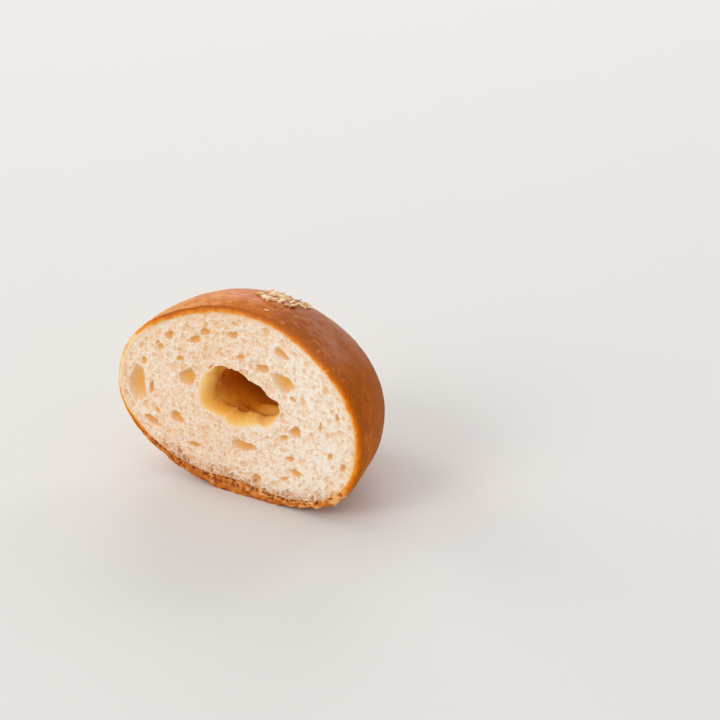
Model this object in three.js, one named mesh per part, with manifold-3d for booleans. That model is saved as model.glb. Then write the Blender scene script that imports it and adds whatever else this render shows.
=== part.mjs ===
// Half of a salt bread roll, cut crosswise with a knife and standing on its fried underside.
//
// Millimetres, +Z up. The cut face looks along -Y and the closed tip points along +Y. The origin
// is on the resting surface, in the middle of the half's length and width.
//
// The bread is one solid: a plump loaf skin, the crumb pressed in behind a thin lip of crust, the
// hollow that the butter left, the larger air cells of the cut face and the coarse salt on top.

import * as THREE from 'three';
import { mergeVertices } from 'three/addons/utils/BufferGeometryUtils.js';
import Module from 'manifold-3d';

// The loaf.
const ROLL_WIDTH = 74.7;
const ROLL_HEIGHT = 50.4; // at the cut
const HALF_LENGTH = 46; // from the cut to the closed tip
const TIP_HEIGHT = 12; // of the tip above the resting surface
const CROWN_RISE = 3.5; // extra height of the back, a third of the way to the tip
const SIDE_TAPER = { early: 1.2, late: 2 }; // powers: low early starts soon, high late ends blunt
const BACK_TAPER = { early: 1.67, late: 1.6 };
const WIDEST_SHARE = 0.43; // of the height, where the sides bulge most
const FLAT_SHARE = 0.42; // of the length, where the underside stays level
const UNDERSIDE_CUT = 0.5; // of crags, worn flat by standing
const CUT_Y = -HALF_LENGTH / 2;

// Crust and crumb.
const TOP_CRUST = 0.9;
const UNDER_CRUST = 2.2;
const CRUMB_RECESS = 0.4; // how far the soft crumb sinks behind the lip of crust
const CRAG_HEIGHT = 0.55; // of the fried underside
const FOLD_STEP = 0.9; // between the turns of the rolled dough, towards the tip
const FOLD_COUNT = 2;
const FOLD_START = 0.45; // share of the length where the first turn ends

// Slow unevenness of the skin near the cut: how high, how many round the loaf, and the phase.
const SWELLS = [
  { height: 0.17, round: 2, phase: 2.69 },
  { height: 0.61, round: 3, phase: -2.08 },
  { height: 0.36, round: 5, phase: 0.48 },
];
const SWELL_REACH = 0.25; // share of the length over which it fades

// The shape of the section: 2 is an ellipse, higher is squarer. The lower powers change by the
// second number at the cut.
const UPPER_POWER = 2.07;
const LOWER_LEFT_POWER = [2.11, -0.21];
const LOWER_RIGHT_POWER = [2.31, 0.11];

// The hollow that the melted butter left.
const HOLLOW = { x: -0.1, z: 26.4, width: 25.6, height: 15.2, tilt: -13, depth: 23 };

// The largest air cells of the cut face: centre, long and short axis, and tilt in degrees.
const MAIN_CELLS = [
  { x: -32.0, z: 22.9, long: 9.8, short: 5.2, tilt: 86 },
  { x: -16.2, z: 28.4, long: 5.4, short: 4.2, tilt: 30 },
  { x: 13.4, z: 33.9, long: 6.4, short: 4.2, tilt: -14 },
  { x: 7.1, z: 36.3, long: 4.2, short: 2.2, tilt: 8 },
  { x: 12.8, z: 41.7, long: 4.8, short: 2.1, tilt: -22 },
  { x: -10.4, z: 42.1, long: 3.3, short: 1.9, tilt: 18 },
  { x: -13.7, z: 39.2, long: 3.4, short: 1.8, tilt: 22 },
  { x: -1.9, z: 43.3, long: 3.1, short: 1.8, tilt: 4 },
  { x: -19.5, z: 16.6, long: 4.2, short: 2.8, tilt: -18 },
  { x: -27.5, z: 13.8, long: 4.6, short: 1.9, tilt: -22 },
  { x: 1.0, z: 13.7, long: 7.8, short: 2.4, tilt: 3 },
  { x: 16.9, z: 21.5, long: 3.7, short: 2.9, tilt: 30 },
  { x: -21.5, z: 38.7, long: 3.1, short: 2.1, tilt: 38 },
  { x: 16.9, z: 10.2, long: 3.7, short: 2.0, tilt: -6 },
  { x: -27.6, z: 22.8, long: 4.0, short: 1.3, tilt: 82 },
  { x: 31.2, z: 15.4, long: 2.8, short: 1.6, tilt: 62 },
];
const SMALL_CELLS = { count: 46, shortest: 1.5, longest: 3.0, flatness: 0.58 };

// The salt: flat crystals in one patch on the back, and a stray by the cut.
const SALT = { count: 22, x: 4.6, fromCut: 12.6, reach: 7.2, apart: 1.7 };
const STRAY_SALT = { x: 6.6, fromCut: 2.2 };
const CRYSTAL_SIZE = { smallest: 1.4, largest: 2.8 };

// Fineness of the faceted skin.
const COLUMNS = 100;
const STATIONS = 25;

const wasm = await Module();
wasm.setup();

// The same draws on every run.
function seededRandom(seed) {
  let state = seed >>> 0;
  return () => {
    state = (state + 0x6d2b79f5) >>> 0;
    let mixed = Math.imul(state ^ (state >>> 15), 1 | state);
    mixed = (mixed + Math.imul(mixed ^ (mixed >>> 7), 61 | mixed)) ^ mixed;
    return ((mixed ^ (mixed >>> 14)) >>> 0) / 4294967296;
  };
}

const between = (random, low, high) => low + (high - low) * random();

// Taper of the loaf: share runs from 0 at the cut to 1 at the tip.
const taper = (share, { early, late }) => (1 - share ** early) ** (1 / late);
const crown = (share) => CROWN_RISE * (27 / 4) * share * (1 - share) ** 2;
const halfWidth = (share) => (ROLL_WIDTH / 2) * taper(share, SIDE_TAPER);
const undersideHeight = (share) =>
  TIP_HEIGHT * Math.max(0, (share - FLAT_SHARE) / (1 - FLAT_SHARE)) ** 2 - UNDERSIDE_CUT;
const backHeight = (share) =>
  TIP_HEIGHT + (ROLL_HEIGHT - TIP_HEIGHT) * taper(share, BACK_TAPER) + crown(share);

// A point on a curve between an ellipse (power 2) and a rounded box (higher powers).
const roundedPower = (value, power) => Math.sign(value) * Math.abs(value) ** (2 / power);

// Relief of the skin at an angle round the loaf: soft swells, the steps of the rolled dough
// towards the tip, and crags underneath.
function skinRelief(angle, share) {
  const waves = SWELLS.map(({ height, round, phase }) => height * Math.sin(round * angle + phase));
  const swell = waves.reduce((sum, wave) => sum + wave) * Math.exp(-share / SWELL_REACH);
  const slant = share + 0.05 * Math.sin(angle) + 0.03 * Math.sin(2 * angle);
  const fold = FOLD_COUNT * Math.max(0, slant - FOLD_START) / (1 - FOLD_START);
  const step = slant > FOLD_START ? (fold - Math.floor(fold)) - 0.5 : 0;
  const below = Math.max(0, -Math.sin(angle)) ** 2;
  const crag = Math.sin(29 * angle + 30 * share) * Math.cos(13 * angle - 47 * share)
    + 0.6 * Math.sin(37 * angle - 20 * share);
  const fade = Math.sqrt(Math.max(0, 1 - share));
  return fade * ((swell + FOLD_STEP * step) * (1 - below) + CRAG_HEIGHT * below * crag);
}

// How square the section is at an angle round the loaf.
function sectionPower(angle, share) {
  if (Math.sin(angle) >= 0) return UPPER_POWER;
  const [power, change] = Math.cos(angle) > 0 ? LOWER_RIGHT_POWER : LOWER_LEFT_POWER;
  return power + change * Math.exp(-share / 0.15);
}

// A point of the skin.
function skinPoint(angle, share, inset = 0) {
  const low = undersideHeight(share);
  const high = backHeight(share);
  const middle = low + WIDEST_SHARE * (high - low);
  const power = sectionPower(angle, share);
  const across = halfWidth(share) * roundedPower(Math.cos(angle), power);
  const reach = Math.sin(angle) >= 0 ? high - middle : middle - low;
  const up = reach * roundedPower(Math.sin(angle), power);
  const radius = Math.hypot(across, up) || 1;
  const grown = 1 + (skinRelief(angle, share) - inset) / radius;
  return new THREE.Vector3(across * grown, CUT_Y + share * HALF_LENGTH, middle + up * grown);
}

// Columns of skin run from the cut to the tip, at even angles round the section.
const columnAngle = (column) => (2 * Math.PI * column) / COLUMNS;

// Stations crowd together towards the tip, where the loaf closes.
const stationShare = (station) => 1 - (1 - station / STATIONS) ** 2;

function closedGeometry(vertices, triangles) {
  const geometry = new THREE.BufferGeometry();
  geometry.setAttribute('position', new THREE.Float32BufferAttribute(vertices, 3));
  geometry.setIndex(triangles);
  return geometry;
}

// The loaf: rings of skin from the cut to the tip, with a flat cut face.
function loafGeometry() {
  const vertices = [];
  const triangles = [];
  for (let station = 0; station < STATIONS; station += 1) {
    for (let column = 0; column < COLUMNS; column += 1) {
      vertices.push(...skinPoint(columnAngle(column), stationShare(station)));
    }
  }
  const cutCentre = vertices.length / 3;
  vertices.push(0, CUT_Y, ROLL_HEIGHT / 2);
  const tip = cutCentre + 1;
  vertices.push(0, CUT_Y + HALF_LENGTH, TIP_HEIGHT - UNDERSIDE_CUT);
  for (let column = 0; column < COLUMNS; column += 1) {
    const next = (column + 1) % COLUMNS;
    triangles.push(cutCentre, column, next);
    for (let station = 0; station < STATIONS - 1; station += 1) {
      const ring = station * COLUMNS;
      const ringBehind = ring + COLUMNS;
      triangles.push(ring + column, ringBehind + column, ringBehind + next);
      triangles.push(ring + column, ringBehind + next, ring + next);
    }
    const lastRing = (STATIONS - 1) * COLUMNS;
    triangles.push(lastRing + column, tip, lastRing + next);
  }
  return closedGeometry(vertices, triangles);
}

// The shallow plug that presses the crumb in behind the crust.
function crumbPlugGeometry() {
  const outline = new THREE.Shape();
  for (let column = 0; column < COLUMNS; column += 1) {
    const angle = columnAngle(column);
    const below = Math.max(0, -Math.sin(angle)) ** 2;
    const crust = TOP_CRUST + (UNDER_CRUST + UNDERSIDE_CUT - TOP_CRUST) * below;
    const point = skinPoint(angle, 0, crust);
    if (column === 0) outline.moveTo(point.x, point.z);
    else outline.lineTo(point.x, point.z);
  }
  outline.closePath();
  const plug = new THREE.ExtrudeGeometry(outline, { depth: 2 * CRUMB_RECESS, bevelEnabled: false });
  plug.rotateX(Math.PI / 2);
  plug.translate(0, CUT_Y + CRUMB_RECESS, 0);
  return plug;
}

// The hollow: a wide, slightly ragged mouth that narrows inwards to a rounded end.
function hollowGeometry() {
  const profile = [new THREE.Vector2(0, -2), new THREE.Vector2(1.06, -2)];
  const steps = 12;
  for (let step = 0; step < steps; step += 1) {
    const share = step / steps;
    profile.push(new THREE.Vector2((1 - share ** 2.2) ** 0.55, share * HOLLOW.depth));
  }
  profile.push(new THREE.Vector2(0, HOLLOW.depth));
  const hollow = new THREE.LatheGeometry(profile, 40);
  const position = hollow.attributes.position;
  for (let i = 0; i < position.count; i += 1) {
    const angle = Math.atan2(position.getZ(i), position.getX(i));
    const depth = position.getY(i);
    const fade = Math.exp(-Math.max(0, depth) / 6);
    const wobble = 1 + fade * (0.035 * Math.sin(5 * angle) + 0.03 * Math.cos(8 * angle));
    position.setX(i, position.getX(i) * wobble);
    position.setZ(i, position.getZ(i) * wobble);
  }
  hollow.scale(HOLLOW.width / 2, 1, HOLLOW.height / 2);
  hollow.rotateY(THREE.MathUtils.degToRad(-HOLLOW.tilt));
  hollow.translate(HOLLOW.x, CUT_Y, HOLLOW.z);
  return hollow;
}

// One air cell: an ellipsoid sunk behind the crumb so that about half of it opens on the cut.
function cellGeometry({ x, z, long, short, tilt }) {
  const cell = new THREE.IcosahedronGeometry(0.5, long > 3.2 ? 1 : 0);
  cell.scale(long, (long + short) / 2, short);
  cell.rotateY(THREE.MathUtils.degToRad(-tilt));
  cell.translate(x, CUT_Y + CRUMB_RECESS + 0.08 * short, z);
  return cell;
}

// Small cells drawn over the cut face, stretched round the hollow, clear of their neighbours.
function smallCells() {
  const random = seededRandom(11);
  const placed = [...MAIN_CELLS];
  const cells = [];
  while (cells.length < SMALL_CELLS.count) {
    const angle = between(random, 0, 2 * Math.PI);
    const rim = skinPoint(angle, 0, UNDER_CRUST + 2.5);
    const outward = Math.sqrt(random());
    const x = HOLLOW.x + (rim.x - HOLLOW.x) * outward;
    const z = HOLLOW.z + (rim.z - HOLLOW.z) * outward;
    const long = between(random, SMALL_CELLS.shortest, SMALL_CELLS.longest);
    const around = Math.atan2(rim.z - HOLLOW.z, rim.x - HOLLOW.x) + Math.PI / 2;
    const fromHollow = Math.hypot((x - HOLLOW.x) / HOLLOW.width, (z - HOLLOW.z) / HOLLOW.height);
    const clear = placed.every((cell) => Math.hypot(cell.x - x, cell.z - z) > 0.62 * (cell.long + long));
    if (fromHollow < 0.68 || !clear) continue;
    const tilt = THREE.MathUtils.radToDeg(around) + between(random, -15, 15);
    const cell = { x, z, long, short: SMALL_CELLS.flatness * long, tilt };
    placed.push(cell);
    cells.push(cell);
  }
  return cells;
}

// One crystal of salt, half sunk in the skin.
function crystalGeometry(random, x, fromCut) {
  const share = fromCut / HALF_LENGTH;
  const angle = Math.acos(x / halfWidth(share));
  const seat = skinPoint(angle, share);
  const size = between(random, CRYSTAL_SIZE.smallest, CRYSTAL_SIZE.largest);
  const crystal = new THREE.IcosahedronGeometry(0.5, 0);
  crystal.scale(size, size * between(random, 0.6, 0.9), size * between(random, 0.45, 0.7));
  crystal.rotateZ(between(random, 0, Math.PI));
  crystal.rotateY(angle - Math.PI / 2 + between(random, -0.3, 0.3));
  crystal.translate(seat.x, seat.y, seat.z + 0.1);
  return crystal;
}

// The patch of salt: crystals drawn over a disc, each a little apart from the others.
function saltGeometries() {
  const random = seededRandom(5);
  const seats = [STRAY_SALT];
  while (seats.length <= SALT.count) {
    const turn = between(random, 0, 2 * Math.PI);
    const reach = SALT.reach * Math.sqrt(random());
    const x = SALT.x + reach * Math.cos(turn);
    const fromCut = SALT.fromCut + reach * Math.sin(turn);
    const apart = seats.every((seat) => Math.hypot(seat.x - x, seat.fromCut - fromCut) > SALT.apart);
    if (apart) seats.push({ x, fromCut });
  }
  return seats.map(({ x, fromCut }) => crystalGeometry(random, x, fromCut));
}

// Everything below the resting surface.
function floorGeometry() {
  const floor = new THREE.BoxGeometry(2 * ROLL_WIDTH, 4 * HALF_LENGTH, 10);
  floor.translate(0, 0, -5);
  return floor;
}

// A closed geometry as a solid that can be joined and cut, and back again.
function toSolid(geometry) {
  const bare = geometry.clone();
  bare.deleteAttribute('normal');
  bare.deleteAttribute('uv');
  const merged = mergeVertices(bare, 1e-4);
  return new wasm.Manifold(new wasm.Mesh({
    numProp: 3,
    vertProperties: new Float32Array(merged.attributes.position.array),
    triVerts: new Uint32Array(merged.index.array),
  }));
}

function toGeometry(solid) {
  const mesh = solid.getMesh();
  const geometry = closedGeometry(Array.from(mesh.vertProperties), Array.from(mesh.triVerts));
  geometry.computeVertexNormals();
  return geometry;
}

// The bread: the loaf, cut flat below, pressed in behind the crust, hollowed and salted.
function rollHalfGeometry() {
  let bread = toSolid(loafGeometry());
  bread = bread.subtract(toSolid(floorGeometry()));
  bread = bread.subtract(toSolid(crumbPlugGeometry()));
  bread = bread.subtract(toSolid(hollowGeometry()));
  for (const cell of [...MAIN_CELLS, ...smallCells()]) {
    bread = bread.subtract(toSolid(cellGeometry(cell)));
  }
  for (const crystal of saltGeometries()) {
    bread = bread.add(toSolid(crystal));
  }
  return toGeometry(bread);
}

const bakedCrust = new THREE.MeshStandardMaterial({
  name: 'crust', color: 0xc07a45, roughness: 0.55, metalness: 0,
});

const rollHalf = new THREE.Mesh(rollHalfGeometry(), bakedCrust);
rollHalf.name = 'roll_half';

const saltBread = new THREE.Group();
saltBread.add(rollHalf);

export default saltBread;
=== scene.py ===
"""Half of a salt bread roll, cut crosswise: baked crust, fried underside, open crumb and coarse salt.

Every piece is in metres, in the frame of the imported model: the cut face looks along -Y, the
closed tip points along +Y, and Z is up from the resting surface.
"""

import math

import bpy
import numpy as np
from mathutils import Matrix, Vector


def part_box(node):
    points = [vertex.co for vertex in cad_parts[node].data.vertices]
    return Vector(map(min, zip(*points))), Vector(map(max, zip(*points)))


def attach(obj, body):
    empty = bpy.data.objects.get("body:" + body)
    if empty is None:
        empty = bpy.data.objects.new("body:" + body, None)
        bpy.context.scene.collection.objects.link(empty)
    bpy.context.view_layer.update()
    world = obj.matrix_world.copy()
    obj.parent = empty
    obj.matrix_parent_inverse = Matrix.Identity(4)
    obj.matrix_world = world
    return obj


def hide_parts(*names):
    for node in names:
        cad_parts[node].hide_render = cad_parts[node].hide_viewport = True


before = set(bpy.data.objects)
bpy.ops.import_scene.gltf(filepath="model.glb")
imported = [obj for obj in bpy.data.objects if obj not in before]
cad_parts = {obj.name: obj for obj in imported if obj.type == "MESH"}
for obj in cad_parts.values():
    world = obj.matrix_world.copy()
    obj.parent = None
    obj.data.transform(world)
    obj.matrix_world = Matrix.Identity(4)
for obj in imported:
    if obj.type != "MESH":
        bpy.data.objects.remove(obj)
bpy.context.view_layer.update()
roll_low, roll_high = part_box("roll_half")
MM = 0.001

# ---------------------------------------------------------------------------------------------
# Camera. The photograph looks down on the cut face from its right, through a long lens, and
# shows the half left of the middle of the frame.
# ---------------------------------------------------------------------------------------------
VIEW_AZIMUTH = math.radians(36)
VIEW_ELEVATION = math.radians(24)
VIEW_DISTANCE = 1.0
PHOTO_SIZE = 720
PHOTO_SCALE = 4.0  # pixels to a millimetre at the cut face
FACE_PIXEL = (240, 400)  # where the photograph shows face_point
FACE_MIDDLE = (0.47 * MM, 25.9 * MM)  # across and up
face_point = Vector((FACE_MIDDLE[0], roll_low.y, FACE_MIDDLE[1]))

toward_camera = Vector((
    math.sin(VIEW_AZIMUTH) * math.cos(VIEW_ELEVATION),
    -math.cos(VIEW_AZIMUTH) * math.cos(VIEW_ELEVATION),
    math.sin(VIEW_ELEVATION),
))
camera_right = Vector((math.cos(VIEW_AZIMUTH), math.sin(VIEW_AZIMUTH), 0))
camera_up = toward_camera.cross(camera_right)
focal_pixels = PHOTO_SCALE * VIEW_DISTANCE / MM
sight = -toward_camera
sight += camera_right * (PHOTO_SIZE / 2 - FACE_PIXEL[0]) / focal_pixels
sight += camera_up * (FACE_PIXEL[1] - PHOTO_SIZE / 2) / focal_pixels

bpy.ops.object.camera_add(
    location=face_point + toward_camera * VIEW_DISTANCE,
    rotation=sight.to_track_quat("-Z", "Y").to_euler(),
)
camera = bpy.context.object
camera.name = "photo_camera"
camera.data.sensor_width = 36
camera.data.lens = camera.data.sensor_width * focal_pixels / PHOTO_SIZE
camera.data.clip_start = 0.05
bpy.context.scene.camera = camera

# ---------------------------------------------------------------------------------------------
# Studio. A plain pale tabletop in soft light. Two windows behind the roll put a sheen on its back,
# one lights its left side and one in front the cut, and the room all round is pale.
# ---------------------------------------------------------------------------------------------
TABLE_TONES = ((0.78, 0.765, 0.75, 1), (0.80, 0.79, 0.775, 1))
ROOM_COLOUR = (1.0, 0.985, 0.97, 1)
ROOM_STRENGTH = 0.62
TABLE_WIDTH = 6.0
LAMPS = (  # name, place, width, watts, colour
    ("back_window", Vector((-1.1, 1.6, 0.85)), 1.0, 8.0, (1.0, 0.98, 0.96)),
    ("second_back_window", Vector((0.2, 1.9, 1.1)), 0.9, 7.0, (1.0, 0.98, 0.96)),
    ("left_window", Vector((-1.9, 0.2, 1.0)), 0.9, 8.0, (1.0, 0.98, 0.96)),
    ("front_window", Vector((-0.35, -2.15, 1.35)), 1.1, 20.0, (1.0, 0.98, 0.96)),
)


def new_material(name):
    """An empty material with its shader and output already joined."""
    material = bpy.data.materials.new(name)
    material.use_nodes = True
    tree = material.node_tree
    return material, tree, tree.nodes["Principled BSDF"]


def add_node(tree, kind, settings=None, **inputs):
    """A node with its settings, and its inputs (by name, or _number) set or joined."""
    node = tree.nodes.new(kind)
    for name, value in (settings or {}).items():
        setattr(node, name, value)
    for name, value in inputs.items():
        socket = node.inputs[int(name[1:]) if name[1:].isdigit() else name.replace("_", " ")]
        if isinstance(value, bpy.types.NodeSocket):
            tree.links.new(value, socket)
        else:
            socket.default_value = value
    return node


def blend_colours(tree, amount, first, second):
    """The colour between two colours, by an amount from 0 to 1."""
    return add_node(tree, "ShaderNodeMix", {"data_type": "RGBA"}, _0=amount, _6=first, _7=second).outputs[2]


def ramp(tree, value, start, end, low=0.0, high=1.0):
    """A value carried smoothly from the range start to end into the range low to high."""
    return add_node(
        tree, "ShaderNodeMapRange", {"interpolation_type": "SMOOTHSTEP"},
        Value=value, From_Min=start, From_Max=end, To_Min=low, To_Max=high,
    ).outputs[0]


bpy.ops.object.select_all(action="DESELECT")
bpy.ops.mesh.primitive_plane_add(size=TABLE_WIDTH, location=(0, 0, roll_low.z))
tabletop = bpy.context.object
tabletop.name = "tabletop"
bpy.ops.object.transform_apply(location=True)
table_paint, table_tree, table_shader = new_material("pale_tabletop")
table_coords = add_node(table_tree, "ShaderNodeTexCoord").outputs["Object"]
table_clouds = add_node(table_tree, "ShaderNodeTexNoise", Vector=table_coords, Scale=3.0)
table_tree.links.new(
    blend_colours(table_tree, table_clouds.outputs["Fac"], *TABLE_TONES),
    table_shader.inputs["Base Color"],
)
table_shader.inputs["Roughness"].default_value = 0.6
table_shader.inputs["Specular IOR Level"].default_value = 0.2
tabletop.data.materials.append(table_paint)

room = bpy.data.worlds.new("soft_room")
bpy.context.scene.world = room
room.use_nodes = True
room.node_tree.nodes["Background"].inputs["Color"].default_value = ROOM_COLOUR
room.node_tree.nodes["Background"].inputs["Strength"].default_value = ROOM_STRENGTH

roll_middle = (roll_low + roll_high) / 2
for name, place, width, watts, colour in LAMPS:
    bpy.ops.object.light_add(
        type="AREA", location=place,
        rotation=(roll_middle - place).to_track_quat("-Z", "Y").to_euler(),
    )
    lamp = bpy.context.object
    lamp.name = name
    lamp.data.size = width
    lamp.data.energy = watts
    lamp.data.color = colour

bpy.context.scene.view_settings.view_transform = "Standard"

# ---------------------------------------------------------------------------------------------
# Crust. The roll is baked dough with a thin skin, brown and satin on top and pale low on the
# left. The underside fried in melted butter, so it is thick, craggy and amber. A flat grid is
# rolled up into a closed shell: first the skin, then the cut edge, then the inside.
# ---------------------------------------------------------------------------------------------
ROLL_WIDTH = 74.7 * MM
ROLL_HEIGHT = 50.4 * MM  # at the cut
HALF_LENGTH = roll_high.y - roll_low.y
CUT_Y = roll_low.y
TIP_HEIGHT = 12 * MM
CROWN_RISE = 3.5 * MM  # how far the crown swells behind the cut
SIDE_TAPER = (1.2, 2)  # how early and how late the sides draw in towards the tip
BACK_TAPER = (1.67, 1.6)  # and the crown
WIDEST_SHARE = 0.43  # of the height, where the roll is widest
FLAT_SHARE = 0.42  # of the length, where the underside begins to rise
UNDERSIDE_CUT = 0.5 * MM
UPPER_POWER = 2.07  # roundness of the section above: 2 is an ellipse, and more is squarer
LOWER_RIGHT_POWER = (2.31, 0.11)  # below on the right, and how much more at the cut
LOWER_LEFT_POWER = (2.11, -0.21)
POWER_REACH = 0.15  # share of the length over which that fades
SWELLS = ((0.17, 2, 2.69), (0.61, 3, -2.08), (0.36, 5, 0.48))  # height in millimetres, number, phase
SWELL_REACH = 0.25  # share of the length over which they fade
FOLD_STEP = 0.9 * MM
FOLD_COUNT = 2
FOLD_START = 0.45  # share of the length where the turns of dough begin
FOLD_ONSET = 0.05
FOLD_SLANT = (0.05, 0.03)  # how far the turns lean, once and twice round the roll
FOLD_DROP = 0.14  # share of a turn over which its step falls away
CRAG_HEIGHT = 0.5 * MM
BLISTER_HEIGHT = 0.30 * MM
SPECK_HEIGHT = 0.07 * MM
PIT_DEPTH = 0.25 * MM
WRINKLE_DEPTH = 0.25 * MM
STREAK_HEIGHT = 0.05 * MM
FINE_HEIGHT = 0.07 * MM
WRINKLE_PLACE = (17 * MM, -15 * MM)  # across and along, the middle of a wrinkled patch
WRINKLE_REACH = 8 * MM
WRINKLE_STRETCH = (0.6, 1.0, 1.0)
STREAK_STRETCH = (0.5, 1.5, 0.5)
EDGE_ROUNDING = 0.14 * MM
FRIED_ROUGHNESS = 0.42 * MM  # of the cut through the underside
BAKED_ROUGHNESS = 0.05 * MM  # and through the rest of the crust
POCKET_DEPTH = 0.9 * MM  # of the pores in the fried cut
POCKET_PITCH = 1.5 * MM
POCKET_SEED = 61
FRIED_SLOPE = (0.42, 0.70)  # how far the skin turns down where the frying begins and is full
FRIED_WAVES = 0.08
BROAD_JAGS = 0.24  # how ragged the crust's inner side is, as shares of its thickness
SMALL_JAGS = 0.14
FRIED_JAGS = 0.06
SKIN_RADIUS_MM = 30  # turns an angle into a length round the skin
CELL_STRETCH = 1.3  # length of a close-packed cell by its width
CUT_REACH = (0.012, 0.028)  # share of the length the cut's colour covers, and more at the right
PALE_TURN = 0.25  # turns the middle of the pale rim up from the left, in radians
FRIED_GLAZE = 0.7

# Marks on the skin: spacing, share of places filled, smallest and largest half width, and a seed.
BLISTERS = (1.9 * MM, 0.5, 0.30 * MM, 0.62 * MM, 21)
SPECKS = (2.6 * MM, 0.45, 0.25 * MM, 0.55 * MM, 31)
PITS = (7 * MM, 0.4, 0.35 * MM, 0.8 * MM, 41)

# Uneven lumps and clouds, each an amount, a size in millimetres and a seed.
CRAG_LUMPS = ((0.9, 2.6, 4), (0.6, 1.2, 5), (0.35, 0.6, 6))
FINE_LUMPS = ((1, 2.8, 22), (0.5, 1.1, 23))
HOLE_LUMPS = ((1, 1.1, 14), (0.6, 0.55, 15))
SKIN_CLOUDS = ((0.09, 14, 31), (0.08, 4, 32))
EDGE_CLOUDS = ((0.16, 1.3, 33), (0.10, 0.6, 34))
CUT_CLOUDS = ((0.25, 2.2, 35),)
UNDERSIDE_CLOUDS = ((0.12, 7, 38),)

# How baked the skin and the cut edge are, from 0 for pale dough to 1 for dark brown, how charred
# the fried part is, and what adds to each or takes from it; the skin's darkening to the right is partly
# painted shade.
BAKING_AND_SHADE = {
    "everywhere": 0.03, "higher": 0.57, "right": 0.55, "left": -0.15, "tip": 0.16, "wrinkled": 0.05,
    "ridge": 0.35, "groove": -0.28, "blister": -0.30, "speck": -0.22, "pit": 0.6, "streak": 0.14,
}
EDGE_BAKING = {
    "everywhere": 0.79, "pale side": -0.67, "outside": 0.30, "inside": -0.44, "blister": -0.3,
}
# The fried part's darkening in its dips and pockets is partly charring, partly painted shade.
CHARRING_AND_SHADE = {
    "cut": 0.40, "right": -0.28, "hole": 0.20, "pocket": 0.50, "strand": -0.40,
    "skin": 0.26, "dip": 0.34,
}

# How thick the crust is at the cut, by degrees round it from the right, in millimetres.
CRUST_DEGREES = (-180, -150, -128, -112, -98, -88, -78, -62, -30, 0, 45, 90, 135, 180)
CRUST_THICK = (0.8, 1.5, 2.0, 2.9, 4.2, 4.2, 3.0, 2.3, 2.0, 1.9, 1.8, 1.65, 1.6, 0.9)
CRUST_COLUMNS = 900
SKIN_RINGS = 170
EDGE_RINGS = 20
INNER_RINGS = 7
INSIDE_REACH = (0.06, 0.97)  # shares of the length between which the inner rings lie
RING_CROWDING = 1.6  # how much closer the skin's rings lie at the cut and at the tip
UNDERSIDE_CROWDING = 1.9  # and its columns underneath
CRUST_TRIANGLES = 196000

SKIN_COLOURS = {  # from pale dough to the most browned
    "Pale": (0.88, 0.58, 0.25, 1), "Golden": (0.78, 0.33, 0.075, 1),
    "Brown": (0.60, 0.155, 0.010, 1), "Dark": (0.40, 0.095, 0.010, 1),
}
FRIED_COLOURS = {
    "Pale": (0.86, 0.48, 0.17, 1), "Golden": (0.63, 0.18, 0.013, 1),
    "Brown": (0.38, 0.085, 0.010, 1), "Dark": (0.16, 0.032, 0.007, 1),
}
EDGE_COLOURS = {
    "Pale": (1.0, 0.74, 0.42, 1), "Golden": (0.90, 0.38, 0.04, 1),
    "Brown": (0.78, 0.195, 0.006, 1), "Dark": (0.50, 0.115, 0.005, 1),
}
CRUST_BROWNINGS = (  # painted value, how mottled, fineness of the mottling, colours
    ("bake_and_shade", 0.48, 330.0, SKIN_COLOURS), ("edge_bake", 0.35, 900.0, EDGE_COLOURS),
    ("char_and_shade", 0.75, 700.0, FRIED_COLOURS),
)


def smooth_step(low, high, value):
    """0 below low, 1 above high, and a soft slope between."""
    share = np.clip((value - low) / (high - low), 0, 1)
    return share * share * (3 - 2 * share)


# Large numbers and shifts that stir the bits of a draw, and the largest number that they hold.
LATTICE_FACTORS = (73856093, 19349663, 83492791, 2654435761)
LATTICE_STIRS = ((15, 2246822519), (13, 3266489917))
LATTICE_TOP = 0xFFFFFFFF


def lattice_draw(*numbers):
    """The same draw from 0 to 1 each time for the same whole numbers."""
    mixed = np.int64(0)
    for number, factor in zip(numbers, LATTICE_FACTORS):
        mixed = mixed ^ (np.asarray(number, np.int64) * factor & LATTICE_TOP)
    for shift, factor in LATTICE_STIRS:
        mixed = (mixed ^ (mixed >> shift)) * factor & LATTICE_TOP
    return (mixed ^ (mixed >> 16)) / LATTICE_TOP


def soft_noise(points, size, seed):
    """Smooth lumps about size across, from -1 to 1."""
    scaled = points / size
    corner = np.floor(scaled).astype(np.int64)
    part = scaled - corner
    part = part * part * (3 - 2 * part)
    total = np.zeros(len(points))
    for step in np.ndindex(2, 2, 2):
        weight = np.abs(1 - np.array(step) - part).prod(axis=1)
        total += weight * lattice_draw(*(corner + step).T, seed)
    return 2 * total - 1


def layered_noise(points, layers):
    """Lumps of several sizes together, each an amount, a size in millimetres and a seed."""
    return sum(amount * soft_noise(points, size * MM, seed) for amount, size, seed in layers)


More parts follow.
